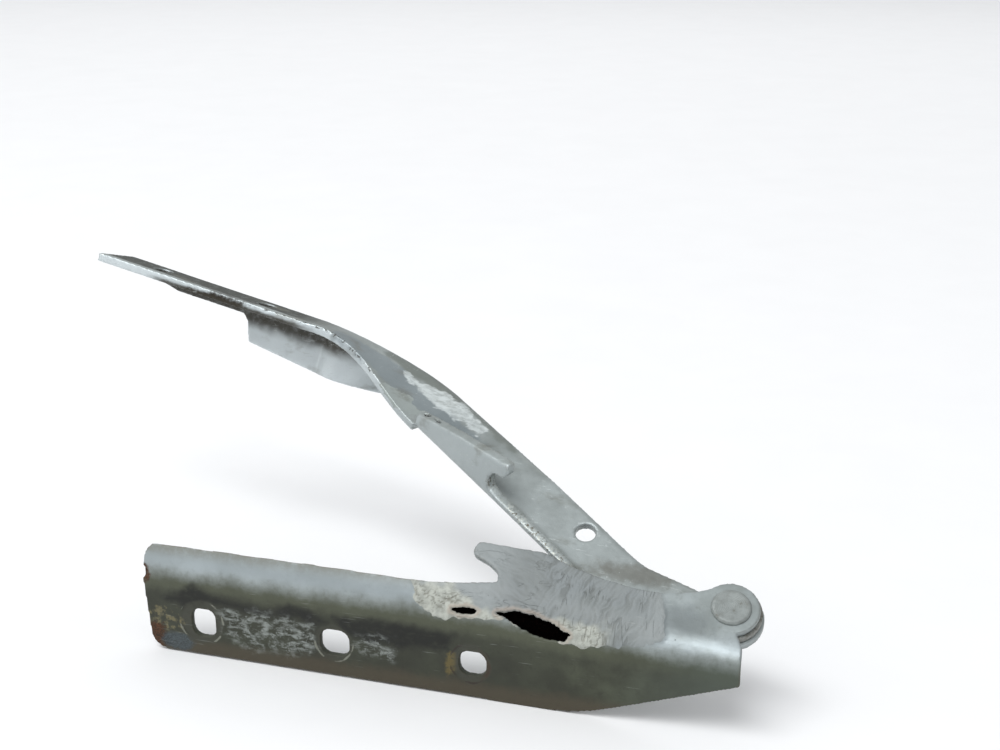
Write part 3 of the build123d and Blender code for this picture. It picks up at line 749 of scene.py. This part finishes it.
# Painted shadow and dirt: a dark patch on the faces under the flange tip.
grime_and_shade = g.spot((-112.0, 112.0, 108.0), (27.0, 8.0, 5.0), 47.0, torn=0.6)
colour = g.over(colour, ARM["tip_shadow_and_dirt"], grime_and_shade, g.math("SUBTRACT", 1.0, top))
shade = g.noise(0.12, 48.0, detail=4.0, stretch=(0.5, 1.0, 1.0))
colour = g.blend(g.step(shade, 0.55, 0.72, 0.0, 0.5), colour, ARM["shade"])
worn_edge = g.mask("worn")
bright = g.times(worn_edge, g.step(mottle, 0.60, 0.42))
colour = g.over(colour, ARM["edge_bright"], bright, 0.35)
brown = g.times(worn_edge, g.step(mottle, 0.56, 0.66))
colour = g.over(colour, ARM["edge_brown"], brown, 0.85)
shadow_dirt = g.times(g.mask("under"), g.step(mottle, 0.25, 0.55, 0.8, 1.0))
colour = g.over(colour, ARM["shadow_dirt"], shadow_dirt, 0.95)
# Painted shadow: a brownish wedge on the plate just behind the bracket's ear.
ear_shadow = g.spot((121.0, 32.0, 34.0), (20.0, 5.0, 5.0), 58.0, torn=0.6, border=0.5)
colour = g.over(colour, ARM["ear_shadow_tone"], ear_shadow, 0.6)
# Painted shade and dirt: darker in the arm's own corners and under its overhangs, from an occlusion mask.
dirt_and_shade = g.times(g.crevice(9.0), g.step(mottle, 0.30, 0.52, 0.55, 1.0))
colour = g.over(colour, ARM["crevice_dirt_and_shade"], dirt_and_shade, 0.85)
colour = g.over(colour, ARM["crack"], g.mask("crack"), 0.9)
peeled = g.ragged(g.mask("peeled"), 0.8, 1.0, 59.0)
colour = g.over(colour, ARM["peeled"], peeled, g.step(mottle, 0.44, 0.54), 0.8)
small = g.math("MAXIMUM", chips(g, 16.0, 1.0, 51.0, 0.35), chips(g, 8.0, 0.45, 52.0, 0.35))
colour = g.over(colour, ARM["chip"], small, 0.85)
long_marks = scratches(g, (0.07, 1.1, 1.1), 53.0, 0.37)
cross_marks = scratches(g, (0.6, 0.12, 1.0), 54.0, 0.35)
marks = g.times(g.math("MAXIMUM", long_marks, cross_marks), g.step(cloud, 0.42, 0.58))
colour = g.over(colour, ARM["scratch"], marks, 0.4)
rough = g.plus(
    g.step(mottle, 0.3, 0.7, 0.32, 0.44), g.times(grain, 0.06), g.times(top, 0.26), g.times(brown, 0.3),
)
metal = g.times(g.math("SUBTRACT", 1.0, g.math("MAXIMUM", brown, top)), 0.5)
relief = g.plus(g.times(grain, 0.25), g.times(mottle, 0.5), g.times(small, -1.0), g.times(marks, -0.35))
arm.data.materials.append(g.finish(colour, rough, metal, relief, RELIEF))

# ---- rivet, spacer, washer and bush on the pivot axis ----
HEAD_R = 8.0
HEAD_H = 1.4
SHANK_R = 5.0
BORE_R = 5.05
SPACER_R = 12.5
WASHER_R = 11.0
SPACER_TOP = -3.0
SPACER_BACK = -6.0
WASHER_TOP = -10.6
WASHER_BACK = -12.1
TAIL_BACK = -14.6


def disc_profile(radius, top, back, edge):
    """Section of a flat disc that fits round the shank, with its corners rounded."""
    return rounded([(BORE_R, top), (radius, top), (radius, back), (BORE_R, back)], edge)


rivet_profile = [
    (0, HEAD_H - 0.30), (3.0, HEAD_H - 0.22), (6.0, HEAD_H - 0.10), (6.9, HEAD_H), (7.4, HEAD_H - 0.15),
    (7.8, HEAD_H - 0.6), (HEAD_R, 0.4), (HEAD_R, 0.0), (SHANK_R, 0.0),
    (SHANK_R, WASHER_BACK), (7.2, WASHER_BACK), (7.5, WASHER_BACK - 0.9), (6.6, TAIL_BACK + 0.5),
    (4.4, TAIL_BACK + 0.05), (2.4, TAIL_BACK + 0.5), (0, TAIL_BACK + 0.7),
]
rivet = lathe("rivet_peened", rivet_profile, pivot, 0.05)
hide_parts("pivot_rivet")
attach(rivet, "bracket")

spacer = lathe("spacer_disc", disc_profile(SPACER_R, SPACER_TOP, SPACER_BACK, 0.5), pivot)
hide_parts("pivot_spacer")
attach(spacer, "bracket")

washer = lathe("washer_disc", disc_profile(WASHER_R, WASHER_TOP, WASHER_BACK, 0.3), pivot)
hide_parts("tail_washer")
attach(washer, "bracket")


def turned_metal(name, light, dark, stain, metallic):
    """Dull turned or painted metal with patches of stain and fine ring marks about the pivot axis."""
    graph = Graph(name)
    patch = graph.noise(0.3, 61.0, detail=6.0, rough=0.65)
    speck = graph.noise(2.5, 62.0, detail=3.0)
    gap = graph.vector("SUBTRACT", graph.mm, tuple(pivot)).outputs[0]
    rise = graph.vector("DOT_PRODUCT", gap, tuple(out)).outputs["Value"]
    size = graph.node("ShaderNodeVectorMath", operation="LENGTH")
    graph.plug(size.inputs[0], gap)
    gap_squared = graph.math("POWER", size.outputs["Value"], 2.0)
    spread = graph.math("SUBTRACT", gap_squared, graph.math("POWER", rise, 2.0))
    radius = graph.math("SQRT", graph.math("MAXIMUM", spread, 0.0))
    turning = graph.math("SINE", graph.times(radius, 9.0))
    shade = graph.blend(graph.step(patch, 0.35, 0.65), light, dark)
    stained = graph.step(graph.plus(patch, graph.times(speck, 0.2)), 0.70, 0.82)
    shade = graph.blend(graph.times(stained, 0.8), shade, stain)
    dots = chips(graph, 5.0, 0.4, 63.0, 0.3)
    shade = graph.blend(graph.times(dots, 0.7), shade, stain)
    rough = graph.plus(graph.step(patch, 0.3, 0.7, 0.36, 0.52), graph.times(stained, 0.2))
    relief = graph.plus(graph.times(turning, 0.12), graph.times(speck, 0.4), graph.times(dots, -0.8))
    return graph.finish(shade, rough, metallic, relief, 0.10)


rivet.data.materials.append(
    turned_metal("rivet_paint_rubbed", tone(146, 152, 150), tone(128, 133, 130), tone(104, 102, 94), 0.3))
spacer.data.materials.append(
    turned_metal("spacer_steel_dull", tone(148, 150, 146), tone(112, 112, 106), tone(84, 66, 46), 0.7))
washer.data.materials.append(
    turned_metal("washer_steel_dull", tone(150, 152, 150), tone(110, 110, 104), tone(88, 64, 42), 0.75))
bush_metal = turned_metal("bush_bronze_plain", tone(178, 136, 78), tone(132, 98, 56), tone(72, 54, 36), 0.9)
for holder in frame["nodes"]["pivot_bush"].material_slots:
    holder.material = bush_metal

# ---- floor, light and camera, in metres ----
FLOOR_GAP = 0.0002
FLOOR_REACH = 9.0
SKY_COLOUR = (0.96, 0.975, 1.0, 1.0)
SKY_STRENGTH = 0.6
CENTRE = (0.0, 0.05, 0.04)
SENSOR_MM = 36.0
LENS_MM = 54.0
CAMERA_PLACE = (0.22475, -0.51010, 0.30602)
CAMERA_AIM = (-0.272077, 0.906576, -0.322636)

floor_mesh = bpy.data.meshes.new("floor")
floor_z = cad_low.z - FLOOR_GAP
floor_mesh.from_pydata(
    [(x * FLOOR_REACH, y * FLOOR_REACH, floor_z) for x, y in ((-1, -1), (1, -1), (1, 1), (-1, 1))],
    [], [(0, 1, 2, 3)])
floor = bpy.data.objects.new("floor", floor_mesh)
bpy.context.scene.collection.objects.link(floor)
g = Graph("floor_pale")
paper = g.noise(0.02, 71.0, detail=3.0)
floor_colour = g.blend(paper, tone(238, 238, 238), tone(243, 243, 243))
floor_mesh.materials.append(g.finish(floor_colour, g.step(paper, 0, 1, 0.82, 0.9), 0.0, paper, 0.02))
floor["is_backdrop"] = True

world = bpy.data.worlds.new("studio")
world.use_nodes = True
sky = world.node_tree.nodes["Background"]
sky.inputs["Color"].default_value = SKY_COLOUR
sky.inputs["Strength"].default_value = SKY_STRENGTH
bpy.context.scene.world = world


def softbox(name, place, aim, size, power, colour):
    """Rectangular lamp at a place, pointed at the aim."""
    lamp = bpy.data.lights.new(name, "AREA")
    lamp.shape = "RECTANGLE"
    lamp.size, lamp.size_y = size
    lamp.energy = power
    lamp.color = colour
    holder = bpy.data.objects.new(name, lamp)
    holder.location = place
    holder.rotation_euler = (Vector(aim) - Vector(place)).to_track_quat("-Z", "Y").to_euler()
    bpy.context.scene.collection.objects.link(holder)


softbox("overhead", (-0.7, -1.3, 3.0), CENTRE, (3.2, 1.3), 76.0, (0.97, 0.985, 1.0))
softbox("left_fill", (-2.4, -1.4, 1.2), CENTRE, (1.6, 1.6), 9.0, (1.0, 0.99, 0.97))
softbox("floor_wash", (-0.8, 2.6, 2.0), (-0.8, 2.61, 0.0), (5.0, 2.2), 24.0, (0.98, 0.99, 1.0))

camera_data = bpy.data.cameras.new("camera")
camera_data.sensor_width = SENSOR_MM
camera_data.lens = LENS_MM
camera = bpy.data.objects.new("camera", camera_data)
camera.location = CAMERA_PLACE
camera.rotation_euler = Vector(CAMERA_AIM).to_track_quat("-Z", "Y").to_euler()
bpy.context.scene.collection.objects.link(camera)
bpy.context.scene.camera = camera
bpy.context.scene.view_settings.view_transform = "Standard"

low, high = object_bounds()
